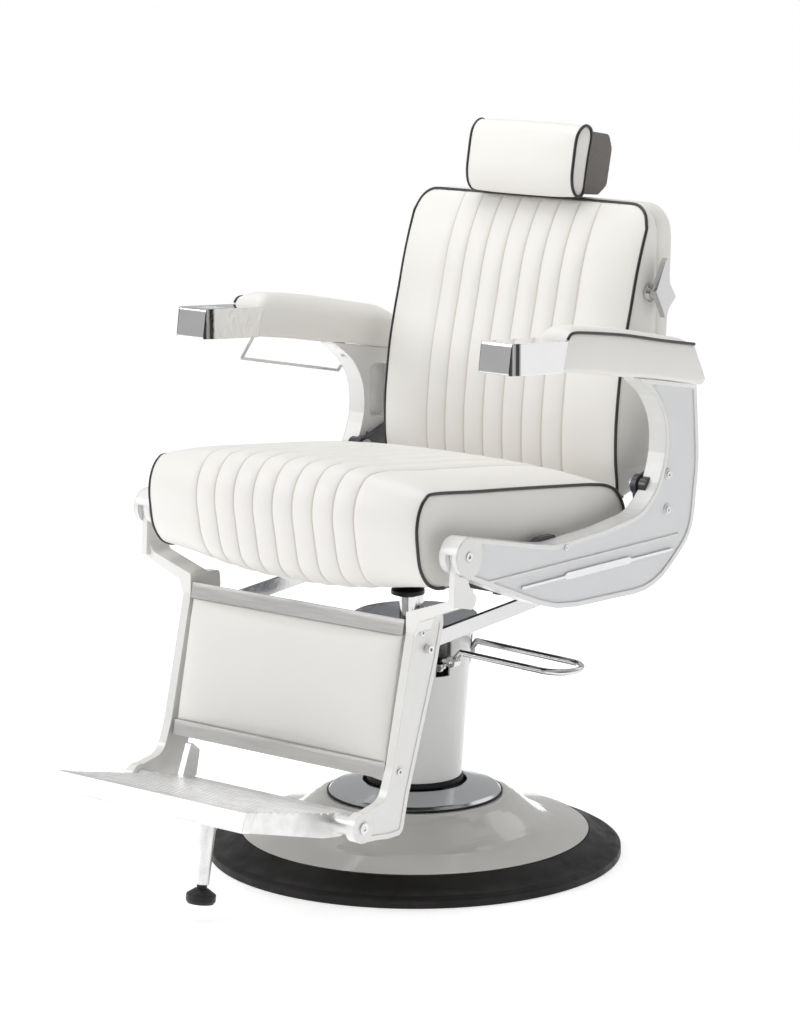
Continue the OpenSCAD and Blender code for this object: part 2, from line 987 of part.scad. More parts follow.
// Origin at the top of the leg, z along the leg.
module leg_line() {
  foot_plane()
    translate([0, -83, 6.9])
      rotate([-foot_tilt * -0.32, 0, 0])
        children();
}

module support_leg() {
  color(cast_alloy)
    union() {
      leg_line()
        difference() {
          rotate_extrude()
            polygon([[0, -134], [10.5, -134], [15, -2], [0, -2]]);
          translate([0, 0, -140])
            cylinder(h = 60, r = 5 + fit);
        }
      foot_plane()
        translate([0, -83, -1])
          cylinder(h = 7.9, r = 26);
    }
}

module leg_foot() {
  color(rubber)
    leg_line()
      union() {
        translate([0, 0, -150])
          cylinder(h = 46, r = 5);
        translate([0, 0, -140])
          cylinder(h = 5, r = 8);
        translate([0, 0, -164])
          rotate_extrude()
            polygon(outline([[0, 0, 0], [20, 0, 2], [23, 5, 2], [23, 15, 3], [10, 24, 3],
              [0, 24, 0]]));
      }
}

base_plate();
base_ring();
base_dish();
collar_gasket();
dress_collar();
column_tube();
tube_bush();
base_bolts();
ram();
ram_piston();
thrust_washer();
column_cover();
cover_seal();
head_casting();
head_disc();
buffer_post();
buffer_pad();
seat_frame();
seat_pan();
seat_cushion();
left_arm_frame();
right_arm_frame();
left_emblem_bar();
right_emblem_bar();
left_arm_pad();
right_arm_pad();
left_arm_cap();
right_arm_cap();
arm_screws();
leg_pivot_screws();
back_pivot_pins();
pump_lever();
recline_lever();
back_frame();
back_cushion();
back_shell();
headrest_guide();
lock_boss();
lock_lever();
headrest_bar();
headrest_block();
headrest_cushion();
tilt_pin();
left_leg_bar();
right_leg_bar();
leg_rails();
leg_board();
leg_cushion();
top_strip();
bottom_strip();
leg_screws();
link_screws();
left_link();
right_link();
footrest_plate();
support_leg();
footrest_screws();
leg_foot();
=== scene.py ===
import math

import bmesh
import bpy
import numpy as np
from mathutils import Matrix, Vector


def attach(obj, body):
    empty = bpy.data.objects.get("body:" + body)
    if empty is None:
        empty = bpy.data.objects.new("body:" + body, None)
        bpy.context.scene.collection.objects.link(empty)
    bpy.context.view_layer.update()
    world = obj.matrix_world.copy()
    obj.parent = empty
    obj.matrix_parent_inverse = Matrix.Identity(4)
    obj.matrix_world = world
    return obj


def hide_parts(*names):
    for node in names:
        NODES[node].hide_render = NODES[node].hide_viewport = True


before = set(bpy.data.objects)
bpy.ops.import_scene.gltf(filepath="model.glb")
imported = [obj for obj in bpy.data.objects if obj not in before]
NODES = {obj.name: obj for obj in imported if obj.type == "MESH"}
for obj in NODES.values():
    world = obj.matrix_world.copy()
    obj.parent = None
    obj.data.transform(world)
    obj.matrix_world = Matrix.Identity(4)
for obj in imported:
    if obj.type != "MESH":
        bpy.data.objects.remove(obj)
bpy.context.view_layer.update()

MM = 0.001


# ------------------------------------------------------------------ materials

def grey_ramp(node, stops):
    """Fills a colour ramp node with (position, grey) stops."""
    elements = node.color_ramp.elements
    while len(elements) < len(stops):
        elements.new(0.5)
    for item, (at, grey) in zip(elements, stops):
        item.position = at
        item.color = (grey, grey, grey, 1)


class Shader:
    """A small helper for building one node material."""

    def __init__(self, name, color, rough, metallic=0.0, **sockets):
        self.mat = bpy.data.materials.new(name)
        self.mat.use_nodes = True
        self.tree = self.mat.node_tree
        self.tree.nodes.clear()
        self.out = self.add("ShaderNodeOutputMaterial")
        self.bsdf = self.add("ShaderNodeBsdfPrincipled")
        self.link(self.bsdf.outputs[0], self.out.inputs[0])
        self.put("Base Color", (*color, 1))
        self.put("Roughness", rough)
        self.put("Metallic", metallic)
        for key, value in sockets.items():
            self.put(key.replace("_", " "), value)
        self.mat.diffuse_color = (*color, 1)
        self.normal = None
        self._coord = None

    def add(self, kind, **props):
        node = self.tree.nodes.new(kind)
        for key, value in props.items():
            setattr(node, key, value)
        return node

    def link(self, a, b):
        self.tree.links.new(a, b)

    def put(self, socket, value):
        self.bsdf.inputs[socket].default_value = value

    def coord(self):
        if self._coord is None:
            self._coord = self.add("ShaderNodeTexCoord").outputs["Object"]
        return self._coord

    def scaled(self, scale):
        m = self.add("ShaderNodeMapping")
        m.inputs["Scale"].default_value = scale
        self.link(self.coord(), m.inputs["Vector"])
        return m.outputs[0]

    def noise(self, scale, detail=3.0, rough=0.5, stretch=None, distortion=0.0):
        n = self.add("ShaderNodeTexNoise")
        n.inputs["Scale"].default_value = scale
        n.inputs["Detail"].default_value = detail
        n.inputs["Roughness"].default_value = rough
        n.inputs["Distortion"].default_value = distortion
        self.link(self.scaled(stretch) if stretch else self.coord(), n.inputs["Vector"])
        return n.outputs["Fac"]

    def cells(self, scale):
        n = self.add("ShaderNodeTexVoronoi", feature="F1")
        n.inputs["Scale"].default_value = scale
        self.link(self.coord(), n.inputs["Vector"])
        return n.outputs["Distance"]

    def ramp(self, value, stops):
        n = self.add("ShaderNodeValToRGB")
        grey_ramp(n, stops)
        self.link(value, n.inputs[0])
        return n.outputs[0]

    def span(self, value, low, high, to_low=0.0, to_high=1.0):
        n = self.add("ShaderNodeMapRange")
        for key, v in zip(("From Min", "From Max", "To Min", "To Max"), (low, high, to_low, to_high)):
            n.inputs[key].default_value = v
        self.link(value, n.inputs["Value"])
        return n.outputs[0]

    def math(self, op, a, b=None):
        n = self.add("ShaderNodeMath", operation=op)
        for socket, v in zip(n.inputs, (a, b)):
            if v is None:
                continue
            if isinstance(v, (int, float)):
                socket.default_value = v
            else:
                self.link(v, socket)
        return n.outputs[0]

    def mix(self, factor, a, b):
        n = self.add("ShaderNodeMix", data_type="RGBA")
        for socket, v in ((n.inputs[0], factor), (n.inputs[6], a), (n.inputs[7], b)):
            if isinstance(v, (int, float)):
                socket.default_value = v
            elif isinstance(v, tuple):
                socket.default_value = (*v, 1)
            else:
                self.link(v, socket)
        return n.outputs[2]

    def axis(self, which):
        n = self.add("ShaderNodeSeparateXYZ")
        self.link(self.coord(), n.inputs[0])
        return n.outputs[which]

    def attribute(self, name):
        return self.add("ShaderNodeAttribute", attribute_name=name).outputs["Fac"]

    def color(self, value):
        self.link(value, self.bsdf.inputs["Base Color"])

    def rough(self, value):
        self.link(value, self.bsdf.inputs["Roughness"])

    def round_edges(self, radius):
        n = self.add("ShaderNodeBevel", samples=4)
        n.inputs["Radius"].default_value = radius
        self.normal = n.outputs[0]
        self.link(self.normal, self.bsdf.inputs["Normal"])

    def bump(self, height, distance, strength=1.0):
        n = self.add("ShaderNodeBump")
        n.inputs["Strength"].default_value = strength
        n.inputs["Distance"].default_value = distance
        self.link(height, n.inputs["Height"])
        if self.normal is not None:
            self.link(self.normal, n.inputs["Normal"])
        self.normal = n.outputs[0]
        self.link(self.normal, self.bsdf.inputs["Normal"])


def vinyl(name, color, shade):
    s = Shader(name, color, 0.42, Coat_Weight=0.12, Coat_Roughness=0.35, IOR=1.48)
    tone = s.noise(7, 3, 0.55)
    base = s.mix(s.span(tone, 0.3, 0.7), color, tuple(c * 0.975 for c in color))
    # painted shade: a per-point attribute darkens the vinyl towards the shade colour in the seams, beside
    # the piping and at tucked edges
    base = s.mix(s.span(s.attribute("painted_shade"), 0.0, 1.0, 0.0, 0.85), base, shade)
    s.color(base)
    s.rough(s.span(s.noise(90, 4, 0.6), 0.3, 0.7, 0.38, 0.50))
    s.bump(s.cells(1300), 0.00022, 0.35)
    s.bump(s.noise(420, 4, 0.6), 0.00025, 0.35)
    s.bump(s.noise(26, 3, 0.5), 0.0016, 0.30)
    return s.mat


def piping_vinyl():
    s = Shader("piping_vinyl", (0.014, 0.012, 0.012), 0.36, Coat_Weight=0.15, Coat_Roughness=0.3)
    s.color(s.mix(s.span(s.noise(60, 3), 0.35, 0.65), (0.010, 0.009, 0.009), (0.026, 0.023, 0.022)))
    s.rough(s.span(s.noise(300, 3), 0.3, 0.7, 0.30, 0.46))
    s.bump(s.noise(1500, 3, 0.6), 0.00015, 0.4)
    return s.mat


def paint(name, color, rough, coat, peel=0.2, dust=0.97):
    s = Shader(name, color, rough, Coat_Weight=coat, Coat_Roughness=0.05, IOR=1.5)
    s.color(s.mix(s.span(s.noise(5, 4, 0.6), 0.3, 0.7), color, tuple(c * dust for c in color)))
    s.rough(s.span(s.noise(40, 4, 0.6), 0.3, 0.7, rough * 0.85, rough * 1.2))
    s.round_edges(0.0012)
    s.bump(s.noise(170, 2, 0.5), 0.0004, peel)
    return s.mat


# distances from the middle of the chair, in metres: the sunk field of an arm casting lies between the
# first two, and the casting is dark round the pivot of the back on its inner side
FIELD_FROM, FIELD_TO = 0.3276, 0.3286
PIVOT_FACE = 0.3103
PIVOT_AT = (0, 0.210, 0.607)
PIVOT_REACH = 0.0142
# the outer and inner flanks of an arm cap, and the length of its curled front corner, along which a dark
# reflection is painted
CAP_OUTER, CAP_INNER = 0.3370, 0.2803
CAP_CURL = (-0.1925, -0.1650)


def speckled_casting():
    s = Shader("speckled_casting", (0.80, 0.80, 0.81), 0.34, Coat_Weight=0.25, Coat_Roughness=0.12)
    side = s.math("ABSOLUTE", s.axis(0))
    field = s.math("MULTIPLY", s.math("GREATER_THAN", side, FIELD_FROM), s.math("LESS_THAN", side, FIELD_TO))
    grain = s.noise(1500, 3, 0.7)
    dots = s.span(s.noise(850, 2, 0.6), 0.58, 0.70, 0.0, 1.0)
    plain = s.mix(s.span(s.noise(5, 4, 0.6), 0.3, 0.7), (0.83, 0.83, 0.82), (0.80, 0.80, 0.795))
    rough_face = s.mix(dots, (0.81, 0.815, 0.825), (0.68, 0.69, 0.71))
    reach = s.add("ShaderNodeVectorMath", operation="DISTANCE")
    s.link(s.scaled((0, 1, 1)), reach.inputs[0])
    reach.inputs[1].default_value = PIVOT_AT
    boss = s.math("LESS_THAN", reach.outputs["Value"], PIVOT_REACH)
    pivot = s.math("MULTIPLY", boss, s.math("LESS_THAN", side, PIVOT_FACE))
    s.color(s.mix(pivot, s.mix(field, plain, rough_face), (0.05, 0.048, 0.046)))
    s.rough(s.span(field, 0, 1, 0.26, 0.50))
    s.round_edges(0.0032)
    s.bump(s.math("MULTIPLY", field, grain), 0.0007, 0.9)
    s.bump(s.noise(120, 2), 0.0003, 0.15)
    return s.mat


def chrome(name, color, rough=0.07, edge=0.0008):
    s = Shader(name, color, rough, 1.0)
    s.color(s.mix(s.span(s.noise(9, 3), 0.3, 0.7), color, tuple(c * 0.95 for c in color)))
    s.rough(s.span(s.noise(60, 5, 0.7), 0.35, 0.75, rough * 0.7, rough * 1.7))
    s.round_edges(edge)
    s.bump(s.noise(700, 3, 0.6, stretch=(1, 1, 6)), 0.00012, 0.12)
    return s.mat


def cap_chrome():
    """Polished chrome with a painted reflection: the dark of the room is painted in two stripes into the
    colour of its curled front corner.
    """
    s = Shader("cap_chrome", (0.80, 0.80, 0.81), 0.05, 1.0)
    side = s.math("ABSOLUTE", s.axis(0))
    flank = s.math("ADD", s.math("GREATER_THAN", side, CAP_OUTER), s.math("LESS_THAN", side, CAP_INNER))
    along = s.span(s.axis(1), *CAP_CURL)
    # painted reflection: two dark stripes of the room painted into the colour along the curled front corner
    painted_reflection = s.ramp(along, ((0.0, 0.8), (0.06, 0.03), (0.26, 0.04), (0.36, 0.42), (0.52, 0.30), (0.60, 0.03),
                           (0.80, 0.03), (0.92, 0.5), (1.0, 0.8)))
    plain = s.mix(s.span(s.noise(9, 3), 0.3, 0.7), (0.80, 0.80, 0.81), (0.74, 0.74, 0.75))
    # the flanks take the painted reflection, the rest stays plain chrome
    s.color(s.mix(flank, plain, s.mix(s.span(painted_reflection, 0.0, 0.8), (0.02, 0.018, 0.018), (0.80, 0.80, 0.81))))
    s.rough(s.span(s.noise(60, 5, 0.7), 0.35, 0.75, 0.04, 0.09))
    s.round_edges(0.0022)
    s.bump(s.noise(22, 2, 0.4, distortion=0.6), 0.006, 0.22)
    return s.mat


def brushed(name, color, rough, along, scale=60, strength=0.3):
    s = Shader(name, color, rough, 1.0, Anisotropic=0.4)
    stretch = tuple(0.02 if i == along else 1.0 for i in range(3))
    lines = s.noise(scale * 30, 4, 0.7, stretch=stretch)
    s.color(s.mix(s.span(lines, 0.3, 0.7), tuple(c * 0.88 for c in color), color))
    s.rough(s.span(lines, 0.3, 0.7, rough * 0.8, rough * 1.25))
    s.round_edges(0.0006)
    s.bump(lines, 0.00018, strength)
    return s.mat


def cast_aluminium(name):
    s = Shader(name, (0.84, 0.84, 0.835), 0.36, 1.0)
    lines = s.noise(900, 5, 0.75, stretch=(0.035, 1, 1))
    blotch = s.noise(34, 5, 0.65)
    base = s.mix(s.span(lines, 0.35, 0.65), (0.72, 0.72, 0.717), (0.90, 0.90, 0.897))
    s.color(s.mix(s.span(blotch, 0.42, 0.62, 0.0, 0.40), base, (0.66, 0.657, 0.65)))
    s.rough(s.span(blotch, 0.3, 0.7, 0.26, 0.48))
    s.round_edges(0.0014)
    s.bump(lines, 0.0003, 0.35)
    s.bump(s.noise(260, 5, 0.7), 0.0004, 0.30)
    return s.mat


def moulded_rubber(name, color, rough):
    s = Shader(name, color, rough, IOR=1.36)
    worn = tuple(min(1, c * 1.9 + 0.006) for c in color)
    s.color(s.mix(s.span(s.noise(12, 5, 0.65), 0.35, 0.7), color, worn))
    s.rough(s.span(s.noise(30, 4, 0.6), 0.3, 0.7, rough * 0.8, rough * 1.25))
    s.round_edges(0.0012)
    s.bump(s.noise(900, 3, 0.6), 0.0002, 0.35)
    return s.mat


def diamond_shell():
    s = Shader("diamond_shell", (0.13, 0.115, 0.105), 0.42)
    z = s.axis(2)
    run = s.math("ADD", s.axis(0), s.axis(1))

    def waves(sign):
        slope = s.math("ADD", run, s.math("MULTIPLY", z, sign))
        return s.math("ABSOLUTE", s.math("SINE", s.math("MULTIPLY", slope, 620.0)))

    pattern = s.math("MULTIPLY", waves(1.0), waves(-1.0))
    s.color(s.mix(s.span(pattern, 0.0, 0.7), (0.105, 0.093, 0.086), (0.20, 0.18, 0.165)))
    s.rough(s.span(pattern, 0.0, 1.0, 0.5, 0.34))
    s.round_edges(0.0015)
    s.bump(pattern, 0.0009, 0.9)
    return s.mat


def machined(name, color, rough):
    s = Shader(name, color, rough, 1.0)
    rings = s.noise(500, 4, 0.6, stretch=(1, 1, 0.08))
    s.color(s.mix(s.span(rings, 0.3, 0.7), tuple(c * 0.85 for c in color), color))
    s.rough(s.span(rings, 0.3, 0.7, rough * 0.8, rough * 1.3))
    s.round_edges(0.0006)
    s.bump(rings, 0.0002, 0.25)
    return s.mat


def dust_cloth():
    s = Shader("dust_cloth", (0.022, 0.020, 0.020), 0.85)
    weave = s.math("MULTIPLY", s.noise(2400, 2, stretch=(1, 0.1, 1)), s.noise(2400, 2, stretch=(0.1, 1, 1)))
    s.color(s.mix(s.span(weave, 0.15, 0.4), (0.014, 0.013, 0.013), (0.045, 0.042, 0.040)))
    s.bump(weave, 0.0004, 0.6)
    return s.mat


WHITE = vinyl("white_vinyl", (0.845, 0.83, 0.797), (0.62, 0.575, 0.49))
PIPING = piping_vinyl()
GLOSS = paint("white_gloss", (0.86, 0.855, 0.835), 0.20, 0.6)
DISH = paint("dish_gloss", (0.74, 0.725, 0.69), 0.13, 0.9, peel=0.12)
COVER = paint("cover_gloss", (0.80, 0.805, 0.795), 0.22, 0.5)
CAST = speckled_casting()
CHROME = chrome("chrome", (0.70, 0.70, 0.71))
CAP_CHROME = cap_chrome()
BAR_CHROME = chrome("bar_chrome", (0.64, 0.64, 0.645), 0.14)
DISC = chrome("disc_coat", (0.135, 0.145, 0.175), 0.10)
COLLAR = chrome("collar_steel", (0.58, 0.59, 0.61), 0.14, edge=0.001)
STRIP = brushed("strip_steel", (0.63, 0.62, 0.605), 0.34, 0, scale=24, strength=0.15)
STEEL = brushed("turned_steel", (0.56, 0.55, 0.54), 0.32, 2)
ALLOY = cast_aluminium("cast_alloy")
RUBBER = moulded_rubber("moulded_rubber", (0.0065, 0.0055, 0.0052), 0.50)
FOOT_RUBBER = moulded_rubber("foot_rubber", (0.012, 0.011, 0.011), 0.36)
DARK = paint("dark_paint", (0.055, 0.058, 0.065), 0.36, 0.2, dust=0.85)
IRON = moulded_rubber("cast_iron", (0.03, 0.03, 0.032), 0.55)
SHELL = diamond_shell()
CLOTH = dust_cloth()
BRONZE = machined("bronze", (0.62, 0.42, 0.20), 0.28)
TURNED_IRON = machined("turned_iron", (0.30, 0.30, 0.31), 0.38)

FINISH = {
    "base_plate": IRON, "base_ring": RUBBER, "base_dish": DISH, "collar_gasket": RUBBER,
    "dress_collar": COLLAR, "column_tube": STEEL, "tube_bush": BRONZE, "base_bolts": STEEL,
    "ram": CHROME, "ram_piston": TURNED_IRON, "thrust_washer": BRONZE, "column_cover": COVER,
    "cover_seal": RUBBER, "head_casting": COVER, "head_disc": DISC, "buffer_post": CHROME,
    "buffer_pad": FOOT_RUBBER, "seat_frame": DARK, "seat_pan": CLOTH,
    "left_arm_frame": CAST, "right_arm_frame": CAST, "left_emblem_bar": CHROME,
    "right_emblem_bar": CHROME, "left_arm_cap": CAP_CHROME, "right_arm_cap": CAP_CHROME,
    "arm_screws": CHROME, "leg_pivot_screws": CHROME, "back_pivot_pins": STEEL,
    "pump_lever": CHROME, "recline_lever": CHROME, "back_frame": DARK, "headrest_guide": STEEL,
    "lock_boss": CHROME, "lock_lever": BAR_CHROME, "headrest_bar": CHROME, "headrest_block": SHELL,
    "tilt_pin": STEEL, "left_leg_bar": GLOSS, "right_leg_bar": GLOSS, "leg_rails": DARK,
    "leg_board": WHITE, "top_strip": STRIP, "bottom_strip": STRIP, "leg_screws": CHROME,
    "link_screws": CHROME, "left_link": BAR_CHROME, "right_link": BAR_CHROME,
    "footrest_plate": ALLOY, "support_leg": ALLOY, "footrest_screws": CHROME, "leg_foot": FOOT_RUBBER,
}


def paint_node(name, mat):
    data = NODES[name].data
    data.materials.clear()
    data.materials.append(mat)


for node_name, finish in FINISH.items():
    paint_node(node_name, finish)


# ------------------------------------------------------------------ mesh tools

def spline(points, n, closed=False):
    """n points on a Catmull-Rom curve through the given points, evenly spaced by length."""
    p = np.array(points, float)
    k = len(p)
    fine = []
    spans = k if closed else k - 1
    for i in range(spans):
        a, b = p[i], p[(i + 1) % k]
        before = p[(i - 1) % k] if closed or i > 0 else a
        after = p[(i + 2) % k] if closed or i + 2 < k else b
        for t in np.linspace(0, 1, 24, endpoint=False):
            fine.append(0.5 * (2 * a + (b - before) * t + (2 * before - 5 * a + 4 * b - after) * t * t
                               + (3 * a - before - 3 * b + after) * t ** 3))
    fine.append(p[0] if closed else p[-1])
    return even(np.array(fine), n, closed)


def even(line, n, closed=False):
    """n points evenly spaced along a polyline."""
    steps = np.linalg.norm(np.diff(line, axis=0), axis=1)
    at = np.concatenate([[0], np.cumsum(steps)])
    want = np.linspace(0, at[-1], n + 1)[:-1] if closed else np.linspace(0, at[-1], n)
    return np.stack([np.interp(want, at, line[:, i]) for i in range(line.shape[1])], 1)


def smooth_step(t):
    t = np.clip(t, 0, 1)
    return t * t * (3 - 2 * t)


def make(name, verts, faces, mat, attributes=None):
    """A mesh from millimetre points."""
    mesh = bpy.data.meshes.new(name)
    mesh.from_pydata([tuple(v) for v in np.asarray(verts, float) * MM], [], [tuple(f) for f in faces])
    mesh.polygons.foreach_set("use_smooth", [True] * len(mesh.polygons))
    for key, values in (attributes or {}).items():
        layer = mesh.attributes.new(key, "FLOAT", "POINT")
        layer.data.foreach_set("value", np.asarray(values, np.float32))
    mesh.validate()
    mesh.update()
    obj = bpy.data.objects.new(name, mesh)
    bpy.context.scene.collection.objects.link(obj)
    obj.data.materials.append(mat)
    fix_normals(obj)
    return obj


def fix_normals(obj):
    bm = bmesh.new()
    bm.from_mesh(obj.data)
    bmesh.ops.recalc_face_normals(bm, faces=bm.faces)
    bm.to_mesh(obj.data)
    bm.free()


def grid_faces(rows, cols, closed_rows=False, closed_cols=False):
    faces = []
    for i in range(rows if closed_rows else rows - 1):
        for j in range(cols if closed_cols else cols - 1):
            a = i * cols + j
            b = i * cols + (j + 1) % cols
            c = ((i + 1) % rows) * cols + (j + 1) % cols
            d = ((i + 1) % rows) * cols + j
            faces.append((a, b, c, d))
    return faces


def stitch(faces, ring, after):
    """Quads between two closed rings of the same length."""
    n = len(ring)
    for j in range(n):
        faces.append((ring[j], ring[(j + 1) % n], after[(j + 1) % n], after[j]))


def fan(faces, ring, hub):
    """Triangles between a closed ring and one point."""
    n = len(ring)
    for j in range(n):
        faces.append((ring[j], ring[(j + 1) % n], hub))


def panel_edge(rows, cols):
    """The closed loop of points round a grid: along the first row, then on round to the start."""
    loop = list(range(cols))
    loop += [i * cols + cols - 1 for i in range(1, rows)]
    loop += [(rows - 1) * cols + j for j in range(cols - 2, -1, -1)]
    return loop + [i * cols for i in range(rows - 2, 0, -1)]


def outward(loop):
    """Unit normals of a closed outline in the side view."""
    tangent = np.roll(loop, -1, 0) - np.roll(loop, 1, 0)
    normal = np.stack([-tangent[:, 1], tangent[:, 0]], 1)
    return normal / np.linalg.norm(normal, axis=1)[:, None]


def soften(a, k):
    """A running mean over 2k + 1 values of a closed loop."""
    return np.convolve(np.concatenate([a[-k:], a, a[:k]]), np.ones(2 * k + 1) / (2 * k + 1), "valid")


def tube(name, line, radius, mat, closed=False, sides=12):
    """A round cord of piping along a polyline in millimetres."""
    p = np.array(line, float)
    n = len(p)
    if closed:
        t = np.roll(p, -1, 0) - np.roll(p, 1, 0)
    else:
        t = np.gradient(p, axis=0)
    t /= np.linalg.norm(t, axis=1)[:, None]
    up = np.array([0.0, 0.0, 1.0]) if abs(t[0][2]) < 0.9 else np.array([1.0, 0.0, 0.0])
    u = np.cross(t[0], up)
    u /= np.linalg.norm(u)
    verts = []
    for i in range(n):
        u = u - t[i] * np.dot(u, t[i])
        u /= np.linalg.norm(u)
        w = np.cross(t[i], u)
        for k in range(sides):
            a = 2 * math.pi * k / sides
            verts.append(p[i] + radius * (math.cos(a) * u + math.sin(a) * w))
    faces = grid_faces(n, sides, closed_rows=closed, closed_cols=True)
    if not closed:
        for ring, flip in ((0, 1), (n - 1, -1)):
            centre = len(verts)
            verts.append(p[ring])
            for k in range(sides):
                a, b = ring * sides + k, ring * sides + (k + 1) % sides
                faces.append((centre, b, a) if flip > 0 else (centre, a, b))
    return make(name, verts, faces, mat)


def inflate(obj, pins, pressure, cap, frames=16):
    """Runs Blender's cloth on a padded piece with its seams pinned, and keeps each point within cap (mm)."""
    rest = np.zeros(len(obj.data.vertices) * 3)
    obj.data.vertices.foreach_get("co", rest)
    rest = rest.reshape(-1, 3)
    group = obj.vertex_groups.new(name="pins")
    for i in np.nonzero(pins > 0)[0]:
        group.add([int(i)], float(pins[i]), "REPLACE")
    cloth = obj.modifiers.new("cloth", "CLOTH")
    c = cloth.settings
    stiff = 12.0
    c.quality = 5
    c.mass = 0.3
    c.tension_stiffness = stiff
    c.compression_stiffness = stiff
    c.shear_stiffness = stiff * 0.5
    c.bending_stiffness = 0.6
    c.air_damping = 2.0
    c.use_pressure = True
    c.uniform_pressure_force = pressure
    c.vertex_group_mass = "pins"
    c.effector_weights.gravity = 0.0
    cloth.collision_settings.use_collision = False
    scene = bpy.context.scene
    for f in range(1, frames + 1):
        scene.frame_set(f)
    deps = bpy.context.evaluated_depsgraph_get()
    shaped = obj.evaluated_get(deps).to_mesh()
    new = np.zeros(len(shaped.vertices) * 3)
    shaped.vertices.foreach_get("co", new)
    new = new.reshape(-1, 3)
    obj.evaluated_get(deps).to_mesh_clear()
    obj.modifiers.remove(cloth)
    scene.frame_set(1)
    move = new - rest
    length = np.linalg.norm(move, axis=1)[:, None]
    limit = cap * MM
    move *= np.where(length > 1e-9, limit * np.tanh(length / limit) / np.maximum(length, 1e-9), 0)
    obj.data.vertices.foreach_set("co", (rest + move).ravel())
    obj.data.update()


def subdivide(obj):
    m = obj.modifiers.new("subdivision", "SUBSURF")
    m.levels = 1
    m.render_levels = 1
    m.boundary_smooth = "PRESERVE_CORNERS"
    deps = bpy.context.evaluated_depsgraph_get()
    mesh = bpy.data.meshes.new_from_object(obj.evaluated_get(deps))
    obj.modifiers.clear()
    old = obj.data
    obj.data = mesh
    bpy.data.meshes.remove(old)
    mesh.polygons.foreach_set("use_smooth", [True] * len(mesh.polygons))


def put(obj, body, slot, *nodes):
    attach(obj, body)
    if nodes:
        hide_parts(*nodes)


# ------------------------------------------------------------------ pleated panels

SEAM_GAP = 40.0
GROOVE_REACH = 19.5
PIPING_RADIUS = 2.6
PAD_PIPING_RADIUS = 2.5


def stations(half, seams, edge_steps):
    """Positions across a panel: close together at each seam, easing out to the panel's edge."""
    offsets = [0, 0.8, 1.8, 3.2, 5.2, 8.0, 11.5, 15.5]
    xs = set()
    inner = max(seams)
    gap = seams[1] - seams[0]
    for s in seams:
        for d in offsets:
            for sign in (-1, 1):
                x = s + sign * d
                if d <= gap / 2 + 0.01 and abs(x) <= inner + gap:
                    xs.add(round(x, 3))
    for s in seams[:-1]:
        xs.add(round(s + gap / 2, 3))
    for sign in (-1, 1):
        for t in np.linspace(0, 1, edge_steps):
            start = inner + 18
            x = start + (half - start) * (1 - (1 - t) ** 1.7)
            xs.add(round(sign * x, 3))
    xs = sorted(xs)
    keep = [xs[0]]
    for x in xs[1:]:
        if x - keep[-1] > 0.45:
            keep.append(x)
    return np.array(keep)


def groove(x, seams):
    """How far the padding has risen beside a seam, 0 to 1, and how much painted shade the seam's line gets,
    1 to 0.
    """
    d = np.min(np.abs(np.asarray(x)[:, None] - np.asarray(seams)[None, :]), axis=1)
    u = np.clip(d / GROOVE_REACH, 0, 1)
    return np.power(1 - np.power(1 - u, 2.3), 0.62), np.exp(-((d / 1.3) ** 2))


# ------------------------------------------------------------------ seat

SEAT_HALF = 272.0
SEAT_UNDER = 513.0
SEAT_PIPE = [(-262, 513), (-282, 516), (-303, 527), (-319, 551), (-325, 582), (-327, 611), (-321, 637),
             (-307, 655), (-285, 660), (-190, 650), (-87, 640), (20, 629), (110, 619), (152, 610),
             (175, 596), (191, 571), (194, 540), (184, 515)]


